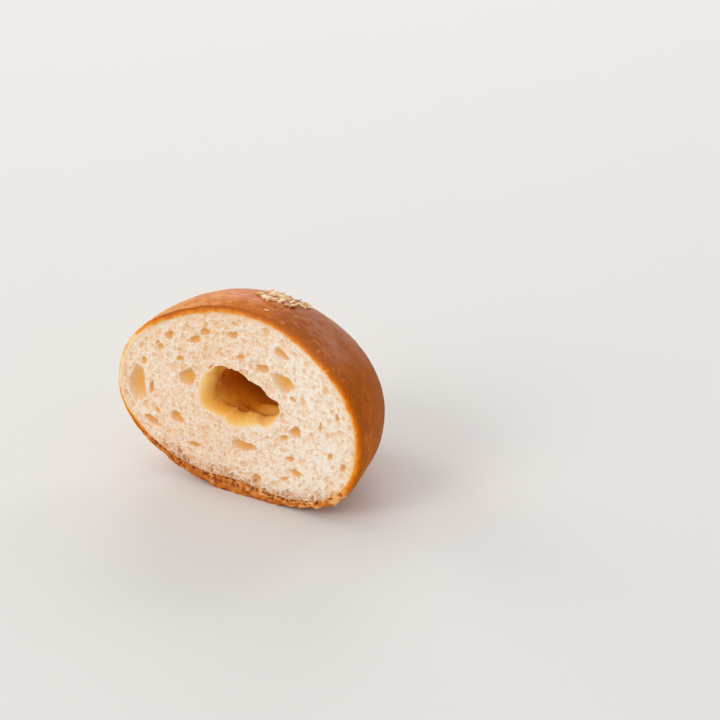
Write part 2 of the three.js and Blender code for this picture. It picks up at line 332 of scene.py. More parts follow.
def spots(across, along, pitch, chance, smallest, largest, seed, stretch=0.0, heading=0.0):
    """Scattered spots, one to a patch: how far inside one each point is, its half width, a draw.

    A spot's middle keeps off the sides of its patch, and small spots are commoner than large ones.
    """
    column, row = np.floor(across / pitch).astype(np.int64), np.floor(along / pitch).astype(np.int64)
    inside, half_width, drawn = np.zeros((3, len(across)))
    for right, up in np.ndindex(3, 3):
        patch = (column + right - 1, row + up - 1)
        off_across = across - (patch[0] + 0.15 + 0.7 * lattice_draw(*patch, seed + 1)) * pitch
        off_along = along - (patch[1] + 0.15 + 0.7 * lattice_draw(*patch, seed + 2)) * pitch
        size = smallest + (largest - smallest) * lattice_draw(*patch, seed + 3) ** 1.5
        length = size * (1 + stretch * lattice_draw(*patch, seed + 4))
        turn = heading + 0.9 * (lattice_draw(*patch, seed + 5) - 0.5)
        lengthways = (off_across * np.cos(turn) + off_along * np.sin(turn)) / length
        sideways = (off_along * np.cos(turn) - off_across * np.sin(turn)) / size
        there = lattice_draw(*patch, seed) < chance
        this = np.where(there, np.clip(1 - lengthways**2 - sideways**2, 0, 1), 0)
        deeper = this > inside
        inside = np.where(deeper, this, inside)
        half_width = np.where(deeper, size, half_width)
        drawn = np.where(deeper, lattice_draw(*patch, seed + 6), drawn)
    return inside, half_width, drawn


def cell_net(across, along, pitch, seed, heading=0.0):
    """Close-packed cells: how far each point is from their walls, as a share of pitch, and a draw."""
    column, row = np.floor(across / pitch).astype(np.int64), np.floor(along / pitch).astype(np.int64)
    nearest, second, drawn = np.full(len(across), 9.0), np.full(len(across), 9.0), np.zeros(len(across))
    for right, up in np.ndindex(3, 3):
        patch = (column + right - 1, row + up - 1)
        off_across = across / pitch - patch[0] - 0.1 - 0.8 * lattice_draw(*patch, seed)
        off_along = along / pitch - patch[1] - 0.1 - 0.8 * lattice_draw(*patch, seed + 1)
        lengthways = off_across * np.cos(heading) + off_along * np.sin(heading)
        sideways = off_along * np.cos(heading) - off_across * np.sin(heading)
        away = np.hypot(lengthways / CELL_STRETCH, sideways)
        closer = away < nearest
        second = np.where(closer, nearest, np.minimum(second, away))
        drawn = np.where(closer, lattice_draw(*patch, seed + 2), drawn)
        nearest = np.where(closer, away, nearest)
    return second - nearest, drawn


def taper(share, early, late):
    """How a size shrinks from the cut (share 0) to the tip (share 1)."""
    return np.clip(1 - share**early, 0, 1) ** (1 / late)


def fold_phase(angle, share):
    """How far along the turns of the rolled dough a point is, and whether they have begun."""
    slant = share + FOLD_SLANT[0] * np.sin(angle) + FOLD_SLANT[1] * np.sin(2 * angle)
    phase = FOLD_COUNT * np.maximum(0, slant - FOLD_START) / (1 - FOLD_START)
    return phase - np.floor(phase), smooth_step(FOLD_START, FOLD_START + FOLD_ONSET, slant)


def skin_swell(angle, share):
    """The slow unevenness of the dough and the steps of its turns towards the tip."""
    waves = sum(height * MM * np.sin(count * angle + phase) for height, count, phase in SWELLS)
    part, begun = fold_phase(angle, share)
    step = (part * smooth_step(0, FOLD_DROP, 1 - part) - 0.5) * begun
    above = 1 - np.maximum(0, -np.sin(angle)) ** 2
    fading = np.sqrt(np.maximum(0, 1 - share))
    return fading * above * (waves * np.exp(-share / SWELL_REACH) + FOLD_STEP * step)


def loaf_section(angle, share):
    """Across, up and the middle height of the loaf's outline at a share of its length."""
    side, rise = np.cos(angle), np.sin(angle)
    low = TIP_HEIGHT * np.clip((share - FLAT_SHARE) / (1 - FLAT_SHARE), 0, 1) ** 2 - UNDERSIDE_CUT
    high = TIP_HEIGHT + (ROLL_HEIGHT - TIP_HEIGHT) * taper(share, *BACK_TAPER)
    high = high + CROWN_RISE * 27 / 4 * share * (1 - share) ** 2  # 27 / 4 makes its peak CROWN_RISE
    middle = low + WIDEST_SHARE * (high - low)
    near = np.exp(-share / POWER_REACH)
    lower_right = LOWER_RIGHT_POWER[0] + LOWER_RIGHT_POWER[1] * near
    lower_left = LOWER_LEFT_POWER[0] + LOWER_LEFT_POWER[1] * near
    power = np.where(rise >= 0, UPPER_POWER, np.where(side > 0, lower_right, lower_left))
    across = np.sign(side) * np.abs(side) ** (2 / power) * ROLL_WIDTH / 2 * taper(share, *SIDE_TAPER)
    up = np.sign(rise) * np.abs(rise) ** (2 / power) * np.where(rise >= 0, high - middle, middle - low)
    return across, up, middle


def loaf_point(angle, share, grow):
    """Points of the loaf, grown outwards from its skin (or inwards, below zero)."""
    across, up, middle = loaf_section(angle, share)
    radius = np.maximum(np.hypot(across, up), 1e-9)
    grown = np.maximum(0, 1 + grow / radius)
    return np.stack([across * grown, CUT_Y + share * HALF_LENGTH, middle + up * grown], axis=-1)


def even_angles(columns, underside=1.0, samples=8001):
    """Angles whose columns lie at even steps round the cut, closer together underneath."""
    angle = np.linspace(-math.pi, math.pi, samples)
    across, up, _ = loaf_section(angle, np.zeros_like(angle))
    steps = np.hypot(np.diff(across), np.diff(up))
    steps *= 1 + (underside - 1) * smooth_step(-0.2, -0.7, np.sin(angle[1:]))
    walked = np.concatenate([[0], np.cumsum(steps)])
    return np.interp(np.arange(columns) / columns * walked[-1], walked, angle)


def crust_thickness(angle):
    """How thick the crust is, by the angle round the roll."""
    return MM * np.interp(np.degrees(angle), CRUST_DEGREES, CRUST_THICK)


def new_sheet(name, columns, rings):
    """A flat grid to roll up into a piece, and the column and ring of each of its points."""
    bpy.ops.object.select_all(action="DESELECT")
    bpy.ops.mesh.primitive_grid_add(x_subdivisions=columns, y_subdivisions=rings, size=2)
    sheet = bpy.context.object
    sheet.name = name
    places = np.empty(3 * len(sheet.data.vertices))
    sheet.data.vertices.foreach_get("co", places)
    places = places.reshape(-1, 3)
    column = np.rint((places[:, 0] + 1) / 2 * columns).astype(int) % columns
    ring = np.rint((places[:, 1] + 1) / 2 * rings).astype(int)
    return sheet, column, ring


def paint_values(piece, name, values):
    """A value for each point, which the piece's material reads."""
    layer = piece.data.attributes.new(name, "FLOAT", "POINT")
    layer.data.foreach_set("value", values.astype(np.float32))


def roll_up(piece, points):
    """Puts the grid's points in place, closes its seam and ends, and shades it smooth."""
    piece.data.vertices.foreach_set("co", points.ravel())
    piece.data.update()
    bpy.ops.object.mode_set(mode="EDIT")
    bpy.ops.mesh.select_all(action="SELECT")
    bpy.ops.mesh.remove_doubles(threshold=0.001 * MM)
    bpy.ops.mesh.normals_make_consistent(inside=False)
    bpy.ops.object.mode_set(mode="OBJECT")
    bpy.ops.object.shade_smooth()


def slim_down(piece, triangles):
    """Takes out the points that a piece's shape needs least, down to a number of triangles."""
    slim = piece.modifiers.new("slim", "DECIMATE")
    slim.ratio = triangles / (2 * len(piece.data.vertices))
    bpy.ops.object.modifier_apply(modifier=slim.name)


crust, column, ring = new_sheet("crust", CRUST_COLUMNS, SKIN_RINGS + EDGE_RINGS + INNER_RINGS)
angle = even_angles(CRUST_COLUMNS, UNDERSIDE_CROWDING)[column]
side, rise = np.cos(angle), np.sin(angle)
skin_share = (1 - (np.arange(SKIN_RINGS + 1) / SKIN_RINGS) ** RING_CROWDING) ** RING_CROWDING
edge_share = np.arange(1, EDGE_RINGS + 1) / EDGE_RINGS
inner_share = np.linspace(*INSIDE_REACH, INNER_RINGS)
share = np.concatenate([skin_share, np.zeros(EDGE_RINGS), inner_share])[ring]
depth_share = np.concatenate([np.zeros(SKIN_RINGS + 1), edge_share, np.ones(INNER_RINGS)])[ring]
on_skin = ring <= SKIN_RINGS
on_edge = share == 0

# Where the underside fried, and how thick and ragged the crust is.
swollen = skin_swell(angle, share)
outside = loaf_point(angle, share, swollen)
fried = smooth_step(*FRIED_SLOPE, FRIED_WAVES * soft_noise(outside, 5 * MM, 3) - rise)
jagged = BROAD_JAGS * soft_noise(outside, 1.7 * MM, 12)
jagged += (SMALL_JAGS + FRIED_JAGS * fried) * soft_noise(outside, 0.8 * MM, 13)
thickness = crust_thickness(angle) * (1 + jagged)
inward = loaf_point(angle, share, swollen - thickness * depth_share)

# Blisters lie by the cut on the right, specks reach farther back, and pits lie on top.
round_roll, along_roll = angle * SKIN_RADIUS_MM * MM, outside[:, 1]
blister, _, _ = spots(round_roll, along_roll, *BLISTERS)
blister = blister * smooth_step(0.13, 0.02, share) * smooth_step(-0.3, 0.4, side)
speck, _, _ = spots(round_roll, along_roll, *SPECKS)
speck = speck * smooth_step(0.6, 0.1, share) * smooth_step(-0.8, 0.2, side)
pit, _, _ = spots(round_roll, along_roll, *PITS)
pit = pit * smooth_step(0.7, 0.3, share) * smooth_step(0.0, 0.3, rise)

# One patch on top is wrinkled, and fine streaks run round the roll.
off_patch = np.hypot(outside[:, 0] - WRINKLE_PLACE[0], outside[:, 1] - WRINKLE_PLACE[1]) / WRINKLE_REACH
wrinkled = np.exp(-off_patch**2) * (rise > 0)
wrinkle = 1 - 2 * np.abs(soft_noise(outside * WRINKLE_STRETCH, 1.7 * MM, 24))
streak = soft_noise(outside * STREAK_STRETCH, 0.9 * MM, 25) + 0.6 * soft_noise(outside, 0.6 * MM, 26)
crag = layered_noise(outside, CRAG_LUMPS)
skin_relief = BLISTER_HEIGHT * blister + SPECK_HEIGHT * speck - PIT_DEPTH * pit
skin_relief += FINE_HEIGHT * layered_noise(outside, FINE_LUMPS)
skin_relief += STREAK_HEIGHT * streak - WRINKLE_DEPTH * wrinkled * wrinkle
relief = CRAG_HEIGHT * fried * crag + (1 - fried) * skin_relief
relief *= np.sqrt(np.maximum(0, 1 - share)) * (1 - depth_share)
points = loaf_point(angle, share, swollen + relief - thickness * depth_share)

# The cut edge is rounded, rough, and porous where it fried.
hole = layered_noise(inward, HOLE_LUMPS)
wavy = inward + 0.5 * MM * soft_noise(inward, 1.5 * MM, 16)[:, None]
wall_gap, pocket_draw = cell_net(wavy[:, 0], wavy[:, 2], POCKET_PITCH, POCKET_SEED)
by_crumb = fried * smooth_step(0.25, 0.85, depth_share)
pocket = by_crumb * smooth_step(0.10, 0.45, wall_gap) * smooth_step(0.25, 0.5, pocket_draw)
strand = by_crumb * smooth_step(0.14, 0.03, wall_gap) * smooth_step(-0.6, 0.4, hole)
rounding = EDGE_ROUNDING * (2 * depth_share - 1) ** 4
rough_cut = (fried * FRIED_ROUGHNESS + (1 - fried) * BAKED_ROUGHNESS) * np.maximum(0, hole)
points[:, 1] += np.where(on_edge, rounding + rough_cut + POCKET_DEPTH * pocket, 0)
points[:, 2] = np.maximum(points[:, 2], roll_low.z)

# The skin browns upwards and to the right, less where a turn of the dough opened; the darkening to the right
# is partly painted shade.
part, begun = fold_phase(angle, share)
groove = begun * (smooth_step(0.80, 0.98, part) + smooth_step(0.10, 0.0, part))
groove = groove * smooth_step(-0.7, 0.2, rise)
bake_and_shade = BAKING_AND_SHADE["everywhere"] + BAKING_AND_SHADE["higher"] * points[:, 2] / ROLL_HEIGHT
# Darker to the right: partly real browning, partly painted shade.
bake_and_shade += BAKING_AND_SHADE["right"] * np.maximum(0, side) + BAKING_AND_SHADE["left"] * np.maximum(0, -side)
bake_and_shade += BAKING_AND_SHADE["tip"] * smooth_step(0.05, 0.6, share) + layered_noise(outside, SKIN_CLOUDS)
bake_and_shade += wrinkled * (BAKING_AND_SHADE["wrinkled"] + BAKING_AND_SHADE["ridge"] * np.maximum(0, wrinkle))
bake_and_shade += BAKING_AND_SHADE["groove"] * groove + BAKING_AND_SHADE["blister"] * blister + BAKING_AND_SHADE["speck"] * speck
bake_and_shade += BAKING_AND_SHADE["pit"] * pit + BAKING_AND_SHADE["streak"] * streak

# The cut edge is pale at the left, and browner outside than inside.
pale_edge = smooth_step(0.35, 0.95, -side) * smooth_step(0.75, 0.2, np.abs(np.sin(angle + PALE_TURN)))
edge_bake = EDGE_BAKING["everywhere"] + EDGE_BAKING["pale side"] * pale_edge
edge_bake += EDGE_BAKING["outside"] * (1 - 0.9 * pale_edge) * smooth_step(0.45, 0.0, depth_share)
edge_bake += EDGE_BAKING["inside"] * smooth_step(0.4, 1.0, depth_share)
edge_bake += layered_noise(inward, EDGE_CLOUDS) + EDGE_BAKING["blister"] * blister

# The fried part chars, and is darker still in its dips and pockets, partly painted shade; its strands stay
# golden.
cut_char_and_shade = CHARRING_AND_SHADE["cut"] + CHARRING_AND_SHADE["right"] * smooth_step(-0.1, 0.5, side)
cut_char_and_shade += layered_noise(inward, CUT_CLOUDS) + CHARRING_AND_SHADE["hole"] * hole
cut_char_and_shade += CHARRING_AND_SHADE["pocket"] * pocket + CHARRING_AND_SHADE["strand"] * strand
# Darker in the dips of the crags: partly charring, partly painted shade.
skin_char_and_shade = CHARRING_AND_SHADE["skin"] + CHARRING_AND_SHADE["dip"] * smooth_step(0.7, -0.9, crag)
skin_char_and_shade += layered_noise(outside, UNDERSIDE_CLOUDS)
char_and_shade = np.where(on_skin, skin_char_and_shade, cut_char_and_shade)

# The cut's colour runs a little way over the skin, and egg wash makes the top glossy.
cut_spread = smooth_step(-0.2, 0.6, side) * (1 + 0.6 * soft_noise(outside, 1.8 * MM, 36))
cut_reach = CUT_REACH[0] + CUT_REACH[1] * cut_spread
glaze = smooth_step(0.35, 0.85, rise) * (0.75 + 0.35 * soft_noise(outside, 3 * MM, 37))
# The baking values hold, on the right, partly painted shade.
paint_values(crust, "bake_and_shade", np.clip(bake_and_shade, 0, 1))
paint_values(crust, "edge_bake", np.clip(edge_bake, 0, 1))
paint_values(crust, "fried", fried)
paint_values(crust, "cut", np.where(on_skin, smooth_step(cut_reach, 0.0, share), 1.0))
paint_values(crust, "char_and_shade", np.clip(char_and_shade, 0, 1))
paint_values(crust, "glaze", np.where(fried > 0.5, FRIED_GLAZE, np.clip(glaze, 0, 1)))
roll_up(crust, points)
slim_down(crust, CRUST_TRIANGLES)


def browning_group():
    """Oven colour: pale dough through gold to brown, mottled, from one amount of baking."""
    group = bpy.data.node_groups.new("oven_browning", "ShaderNodeTree")
    face = group.interface
    for name in ("Baking", "Mottle", "Mottle Scale"):
        face.new_socket(name, in_out="INPUT", socket_type="NodeSocketFloat")
    for name in ("Pale", "Golden", "Brown", "Dark"):
        face.new_socket(name, in_out="INPUT", socket_type="NodeSocketColor")
    face.new_socket("Color", in_out="OUTPUT", socket_type="NodeSocketColor")
    given = group.nodes.new("NodeGroupInput").outputs
    made = group.nodes.new("NodeGroupOutput")
    coords = add_node(group, "ShaderNodeTexCoord").outputs["Object"]
    clouds = add_node(
        group, "ShaderNodeTexNoise", Vector=coords, Scale=given["Mottle Scale"], Detail=5.0, Roughness=0.62,
    )
    centred = add_node(group, "ShaderNodeMath", {"operation": "SUBTRACT"}, _0=clouds.outputs["Fac"], _1=0.5)
    amount = add_node(
        group, "ShaderNodeMath", {"operation": "MULTIPLY_ADD"},
        _0=centred.outputs[0], _1=given["Mottle"], _2=given["Baking"],
    ).outputs[0]
    colour = blend_colours(group, ramp(group, amount, 0.0, 0.36), given["Pale"], given["Golden"])
    colour = blend_colours(group, ramp(group, amount, 0.3, 0.7), colour, given["Brown"])
    colour = blend_colours(group, ramp(group, amount, 0.65, 1.0), colour, given["Dark"])
    group.links.new(colour, made.inputs["Color"])
    return group


def grain_group():
    """Fine pores and wrinkles as a height, from soft noise and round pores."""
    group = bpy.data.node_groups.new("fine_grain", "ShaderNodeTree")
    face = group.interface
    for name in ("Scale", "Pores"):
        face.new_socket(name, in_out="INPUT", socket_type="NodeSocketFloat")
    face.new_socket("Height", in_out="OUTPUT", socket_type="NodeSocketFloat")
    given = group.nodes.new("NodeGroupInput").outputs
    made = group.nodes.new("NodeGroupOutput")
    coords = add_node(group, "ShaderNodeTexCoord").outputs["Object"]
    lumps = add_node(
        group, "ShaderNodeTexNoise", Vector=coords, Scale=given["Scale"], Detail=6.0, Roughness=0.6,
    )
    pores = add_node(
        group, "ShaderNodeTexVoronoi", {"feature": "SMOOTH_F1"}, Vector=coords, Scale=given["Scale"],
    )
    height = add_node(
        group, "ShaderNodeMath", {"operation": "MULTIPLY_ADD"},
        _0=pores.outputs["Distance"], _1=given["Pores"], _2=lumps.outputs["Fac"],
    )
    group.links.new(height.outputs[0], made.inputs["Height"])
    return group


def painted(tree, name):
    """The values painted on a piece under that name."""
    return add_node(tree, "ShaderNodeAttribute", {"attribute_name": name}).outputs["Fac"]


oven_browning = browning_group()
fine_grain = grain_group()


def crust_material():
    """Satin baked skin, an orange cut edge, and rough amber where the underside fried."""
    material, tree, shader = new_material("baked_crust")
    fried_here = painted(tree, "fried")
    skin, edge, butter = [
        add_node(
            tree, "ShaderNodeGroup", {"node_tree": oven_browning}, Baking=painted(tree, value),
            Mottle=mottle, Mottle_Scale=scale, **colours,
        ).outputs["Color"]
        for value, mottle, scale, colours in CRUST_BROWNINGS
    ]
    colour = blend_colours(tree, painted(tree, "cut"), skin, edge)
    colour = blend_colours(tree, fried_here, colour, butter)
    grain = add_node(tree, "ShaderNodeGroup", {"node_tree": fine_grain}, Scale=1300.0, Pores=0.6)
    bump = add_node(tree, "ShaderNodeBump", Strength=0.30, Distance=0.1 * MM, Height=grain.outputs["Height"])
    tree.links.new(colour, shader.inputs["Base Color"])
    tree.links.new(ramp(tree, grain.outputs["Height"], 0.5, 1.2, 0.48, 0.66), shader.inputs["Roughness"])
    tree.links.new(ramp(tree, painted(tree, "glaze"), 0.0, 1.0, 0.0, 0.6), shader.inputs["Coat Weight"])
    tree.links.new(bump.outputs["Normal"], shader.inputs["Normal"])
    shader.inputs["Specular IOR Level"].default_value = 0.012
    shader.inputs["Subsurface Weight"].default_value = 0.10
    shader.inputs["Subsurface Radius"].default_value = (1.0, 0.35, 0.12)
    shader.inputs["Subsurface Scale"].default_value = 0.8 * MM
    shader.inputs["Coat Roughness"].default_value = 0.38
    return material


crust.data.materials.append(crust_material())
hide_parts("roll_half")
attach(crust, "root")

# ---------------------------------------------------------------------------------------------
# Crumb. The soft inside, cut through its air cells, with the hollow that melted butter left in
# the middle. It is rolled up from a grid too: the first rings line the hollow, the next are the
# cut face, and the last lie hidden against the crust.
# ---------------------------------------------------------------------------------------------
CRUMB_RECESS = 0.12 * MM
RIM_TUCK = 0.7 * MM  # how far the crumb drops behind the crust's cut edge
CRUMB_COLUMNS = 1100
HOLLOW_RINGS = 76
FACE_RINGS = 170
HIDDEN_RINGS = 8
HIDDEN_REACH = 0.93  # share of the length that the hidden rings cover
CRUMB_TRIANGLES = 196000
HOLLOW_X = -0.1 * MM
HOLLOW_Z = 26.4 * MM
HOLLOW_WIDTH = 24.0 * MM  # behind its mouth
HOLLOW_HEIGHT = 13.8 * MM
HOLLOW_TILT = math.radians(-13)
HOLLOW_DEPTH = 23 * MM
SOFT_LIP = 3.8 * MM  # how wide the lip is worn round on the left and below
SHARP_LIP = 0.30 * MM  # and how little where it tore, on the upper right
TORN_TURN = 0.4  # turns the middle of the torn part from the top to the right, in radians
TORN_WAVES = 0.03
MOUTH_SHARE = 0.85  # of the lip's width lies inside the mouth's outline
MOUTH_DEEP_MM = 8  # where the mouth's outline has turned into the oval
CELL_DEPTH = 0.50  # of a cell's mean width
DEEPEST_CELL = 2.1 * MM
BOWL_ROUNDNESS = 0.6

# How much butter the crumb took up, from 0 for cream through golden to 1 for dark brown, with painted shade
# deeper in the hollow and painted light on its lit floor.
LIP_SOAK = 0.25
WET_SOAK = 0.17  # and how much more at the lower left of the lip
WETTEST_DEGREES = 232
WET_SPREAD_DEGREES = 48
# Deeper in, part of the darkening is painted shade.
SOAK_AND_SHADE_PER_MM = 0.052  # more for each millimetre into the hollow
# The lit floor is painted lighter: painted light.
LIT_FLOOR_LIGHT = 0.24  # and less on the floor at the right

# The torn outline of the hollow's mouth: degrees round it, and how far it reaches in millimetres.
MOUTH = (
    (-161, 13.0), (-140, 10.1), (-124, 8.2), (-114, 8.7), (-73, 7.5), (-48, 8.6), (-38, 10.5),
    (-2, 12.8), (8, 12.5), (20, 9.1), (60, 6.8), (110, 8.3), (156, 11.9), (175, 12.5),
)

# Smooth swellings of the hollow's wall: degrees round it, millimetres deep, the spread of both,
# and how far inwards each stands as a share of the hollow's half width.
WALL_FOLDS = (
    (160, 5.6, 34, 2.4, 0.16), (-150, 9.0, 24, 3.0, 0.10), (-62, 11.0, 44, 1.7, 0.24),
    (-112, 6.5, 22, 1.8, 0.12), (-80, 3.6, 16, 1.2, 0.06), (120, 12.0, 30, 3.5, 0.12),
)

# Shallow lobes of the wall: amount, size in millimetres and a seed.
WALL_LOBES = ((0.07, 4.5, 43), (0.02, 1.5, 44))
WALL_RADIUS_MM = 9

# The air cells that stand out on the cut: centre, long and short axis in millimetres, and tilt.
MAIN_CELLS = (
    (-32.0, 22.9, 9.8, 5.2, 86), (-16.2, 28.4, 5.4, 4.2, 30), (13.4, 33.9, 6.4, 4.2, -14),
    (7.1, 36.3, 4.2, 2.2, 8), (12.8, 41.7, 4.8, 2.1, -22), (-10.4, 42.1, 3.3, 1.9, 18),
    (-13.7, 39.2, 3.4, 1.8, 22), (-1.9, 43.3, 3.1, 1.8, 4), (0.5, 37.9, 2.8, 1.4, 18),
    (-19.5, 16.6, 4.2, 2.8, -18), (-27.5, 13.8, 4.6, 1.9, -22), (1.0, 13.7, 7.8, 2.4, 3),
    (16.9, 21.5, 3.7, 2.9, 30), (13.5, 19.2, 2.8, 1.5, 24), (-21.5, 38.7, 3.1, 2.1, 38),
    (-29.8, 29.7, 2.4, 1.7, 60), (-27.6, 22.8, 4.0, 1.3, 82), (15.3, 13.8, 2.8, 1.4, 14),
    (16.9, 10.2, 3.7, 2.0, -6), (5.0, 6.0, 3.3, 2.0, 8), (13.5, 7.9, 2.3, 1.1, 12),
    (-14.4, 10.3, 3.8, 1.3, 4), (-18.3, 33.1, 2.4, 1.4, 24), (-25.8, 16.9, 2.4, 1.4, -30),
    (-24.5, 34.8, 2.5, 1.7, 44), (16.3, 30.3, 2.0, 1.2, -30), (27.3, 17.5, 2.3, 1.5, 60),
    (31.2, 15.4, 2.8, 1.6, 64), (29.6, 28.6, 2.6, 1.1, 96), (24.6, 24.8, 3.2, 0.9, 82),
)

# Cells too many to list one by one: spacing, share of places filled, half widths and a seed.
SCATTERED_CELLS = ((3.6, 0.55, 0.45, 0.95, 100), (1.9, 0.60, 0.26, 0.58, 200))
SCATTERED_STRETCH = 0.8
SCATTERED_DEPTH = 0.8  # of a cell's half width

# The close-packed cells between them, wide, middling and fine: spacing in millimetres and a seed.
NETS = ((2.3, 93), (1.35, 83), (0.75, 77))
NET_WAVES = 0.5 * MM  # how far their walls wander
WIDE_DEPTH = 0.65  # these three in millimetres
CELL_DEPTHS = (0.08, 0.30)  # the least, and how much more by draw
FINE_DEPTH = 0.09
BASE_REACH = (4.5 * MM, 1.0 * MM)  # how far above the base the cells grow looser

# Uneven lumps of the crumb, each an amount in millimetres, a size in millimetres and a seed.
COTTON_LUMPS = ((0.09, 1.2, 51), (0.05, 0.6, 52))
SLOW_LUMPS = ((0.25, 6, 53),)

# How much toast the crumb takes on, and over how many millimetres, and how many more underneath.
TOAST_NEAR = 0.80
TOAST_FAR = 0.22
TOAST_REACH_MM = (0.50, 0.35)

# How white the crumb is, from 0 for cream to 1, and what adds to that or takes from it; whiter walls are
# painted highlight, and creamier cells and sunken spots are painted shade.
WHITENESS = {
    "everywhere": 0.20, "right": 0.50, "low": 0.06, "left": 0.14, "wall": 0.45, "fine wall": 0.14,
    "cell": -0.22, "cotton": -1.6,
}

CREAM_TONES = ((0.89, 0.63, 0.42, 1), (1.0, 0.92, 0.82, 1))
# Inside the cells: a golden tint with painted shade.
CELL_TINT_AND_SHADE_COLOUR = (0.82, 0.42, 0.085, 1)
TOASTED_COLOUR = (0.84, 0.44, 0.12, 1)
FRIED_CRUMB_COLOUR = (0.55, 0.22, 0.05, 1)
SOAKED_AND_SHADED_COLOURS = {
    "Pale": (0.98, 0.68, 0.30, 1), "Golden": (0.94, 0.48, 0.08, 1),
    "Brown": (0.79, 0.28, 0.012, 1), "Dark": (0.53, 0.15, 0.003, 1),
}


def cell_bowl(along, over):
    """The depth of a round-edged bowl, from 1 in its middle to 0 at its edge."""
    return np.clip(1 - along**2 - over**2, 0, 1) ** BOWL_ROUNDNESS


def open_cell(x, z, cell):
    """Depth, and golden tint with painted shade, of one main cell, with an uneven outline."""
    centre_x, centre_z, long, short, tilt = cell
    turn = math.radians(tilt)
    right, up = x / MM - centre_x, z / MM - centre_z
    along = (right * math.cos(turn) + up * math.sin(turn)) / (long / 2)
    over = (up * math.cos(turn) - right * math.sin(turn)) / (short / 2)
    around = np.arctan2(over, along)
    uneven = 1.04 + 0.10 * np.sin(3 * around + 7 * centre_x) + 0.06 * np.sin(5 * around + 3 * centre_z)
    bowl = cell_bowl(along / uneven, over / uneven)
    depth = min(CELL_DEPTH * math.sqrt(long * short) * MM, DEEPEST_CELL)
    return depth * bowl, bowl**0.7


crumb_rings = HOLLOW_RINGS + FACE_RINGS + HIDDEN_RINGS
crumb, column, ring = new_sheet("crumb", CRUMB_COLUMNS, crumb_rings)
angle = even_angles(CRUMB_COLUMNS)[column]
side, rise = np.cos(angle), np.sin(angle)
in_hollow = ring < HOLLOW_RINGS
on_face = (ring >= HOLLOW_RINGS) & (ring <= HOLLOW_RINGS + FACE_RINGS)

# How deep in the hollow, how far across the face, and how far back each ring lies.
deep_share = np.clip(1 - ring / HOLLOW_RINGS, 0, 1) ** 0.9
face_share = np.clip((ring - HOLLOW_RINGS) / FACE_RINGS, 0, 1)
back_share = HIDDEN_REACH * np.clip((ring - HOLLOW_RINGS - FACE_RINGS) / HIDDEN_RINGS, 0, 1)

# The lip is sharp at the upper right, where the crumb tore, and worn round on the other sides.
circle = np.stack([side, rise, 0 * angle], axis=-1)
torn = smooth_step(-0.2, 0.5, np.sin(angle + TORN_TURN))
lip = SHARP_LIP + (SOFT_LIP - SHARP_LIP) * (1 - torn)
mouth_y = CUT_Y + CRUMB_RECESS + lip
y = mouth_y + (HOLLOW_DEPTH - lip) * deep_share
deep_mm = np.where(in_hollow, (y - CUT_Y) / MM, 0)

# The hollow's wall closes in towards its end, with folds and lobes.
narrowing = np.clip(1 - deep_share**2.2, 0, 1) ** 0.55
narrowing = narrowing * (1 + TORN_WAVES * torn * soft_noise(circle, 0.09, 42) * (1 - 0.7 * deep_share))
for degrees, fold_deep, degree_spread, deep_spread, inward_share in WALL_FOLDS:
    off_angle = (np.degrees(angle) - degrees + 180) % 360 - 180
    hump = np.exp(-(off_angle / degree_spread) ** 2 - ((deep_mm - fold_deep) / deep_spread) ** 2)
    narrowing = narrowing * (1 - np.where(in_hollow, inward_share * hump, 0))
wall_mm = np.concatenate([circle[:, :2] * WALL_RADIUS_MM, deep_mm[:, None]], axis=1)
for amount, size, seed in WALL_LOBES:
    narrowing = narrowing * (1 + smooth_step(0, 3, deep_mm) * amount * soft_noise(wall_mm, size, seed))

# The torn mouth turns into a tilted oval on the way in.
steer = angle - HOLLOW_TILT
mouth = MM * np.interp(np.degrees(angle), *zip(*MOUTH), period=360) - MOUTH_SHARE * lip
oval = 0.5 / np.hypot(np.cos(steer) / HOLLOW_WIDTH, np.sin(steer) / HOLLOW_HEIGHT)
reach = (mouth + (oval - mouth) * smooth_step(0, MOUTH_DEEP_MM, deep_mm)) * narrowing
wall_x = HOLLOW_X + reach * side
wall_z = HOLLOW_Z + reach * rise

# The face spans from the mouth to halfway under the crust's cut edge.
tucked = 0.5 * crust_thickness(angle)
rim = loaf_point(angle, 0 * angle, skin_swell(angle, 0 * angle) - tucked)
x = wall_x + (rim[:, 0] - wall_x) * face_share
z = wall_z + (rim[:, 2] - wall_z) * face_share
from_mouth = np.hypot(x - wall_x, z - wall_z)
to_crust = np.hypot(x - rim[:, 0], z - rim[:, 2]) - tucked
sink = lip * (1 - np.sqrt(np.clip(1 - (1 - np.clip(from_mouth / lip, 0, 1)) ** 2, 0, 1)))

# Cells keep clear of the crust and the lip, and are looser just above the fried base.
face_points = np.stack([x, 0 * x, z], axis=-1)
clear = smooth_step(0.1 * MM, (0.9 + 1.6 * np.maximum(0, rise)) * MM, to_crust)
clear *= smooth_step(0.6, 1.2, from_mouth / lip)
underneath = smooth_step(-0.55, -0.8, rise)
by_base = underneath * smooth_step(*BASE_REACH, to_crust)

